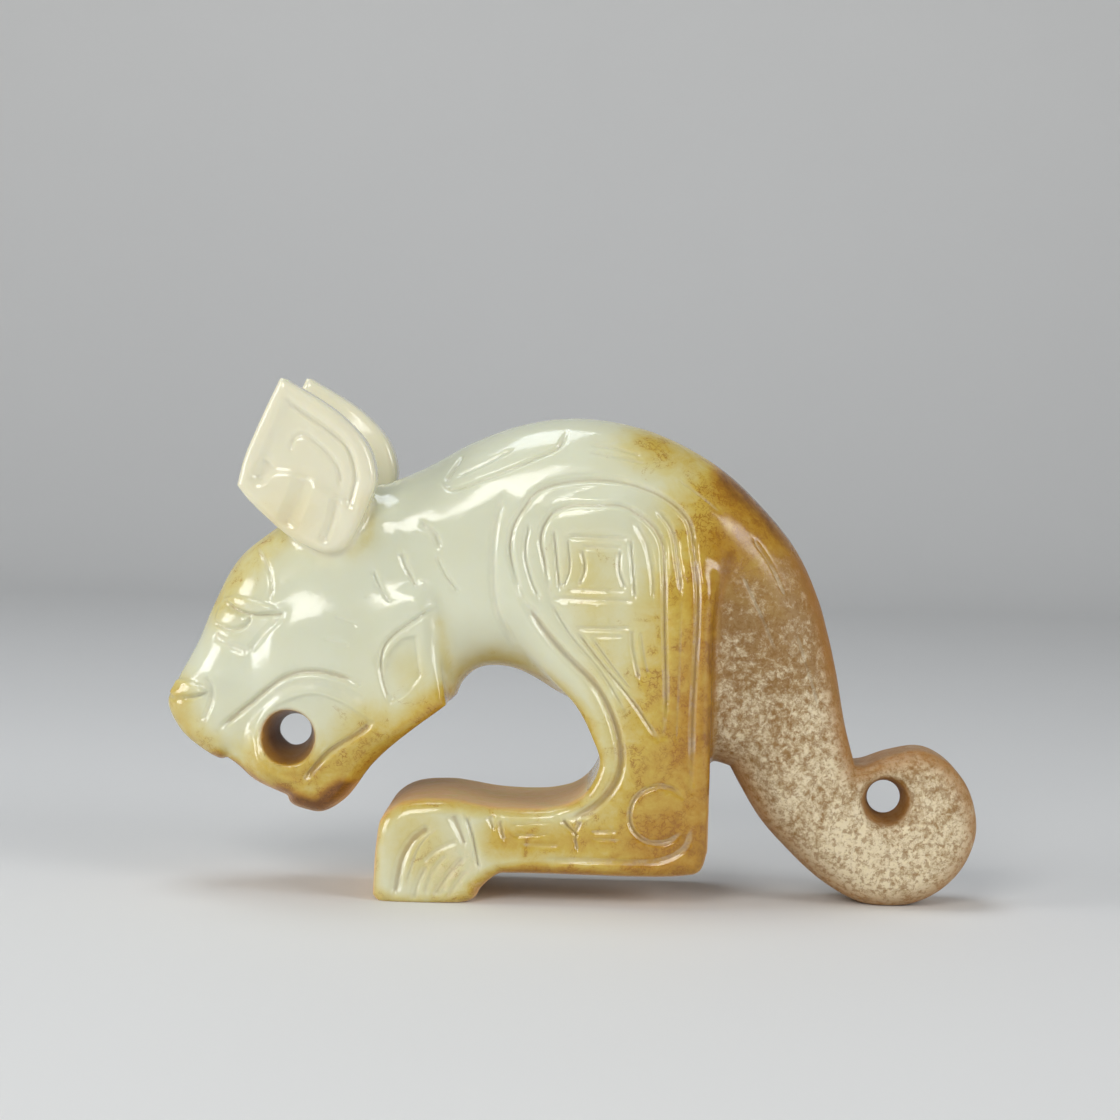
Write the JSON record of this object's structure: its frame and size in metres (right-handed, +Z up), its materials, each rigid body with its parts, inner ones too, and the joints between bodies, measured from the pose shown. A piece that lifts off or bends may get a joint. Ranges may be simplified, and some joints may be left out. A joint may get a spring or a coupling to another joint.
{
  "type": "jade dragon carving",
  "caption": "Small crouching dragon carved from one piece of jade, head lowered, ears raised, tail curled round a cord bore, standing on its feet and tail.",
  "frame": {"origin": "middle of the box round the carving, at the level of the soles it stands on", "axes": "+X from the nose towards the curled tail, +Y across the carving from one side to the other, +Z up"},
  "size_m": [0.065, 0.0142, 0.0408],
  "materials": {
    "jade": "polished translucent pale celadon and honey jade with ochre and brown stains and a calcified mottled cream tail"
  },
  "bodies": {
    "root": {"jade_dragon": "jade"}
  },
  "joints": []
}
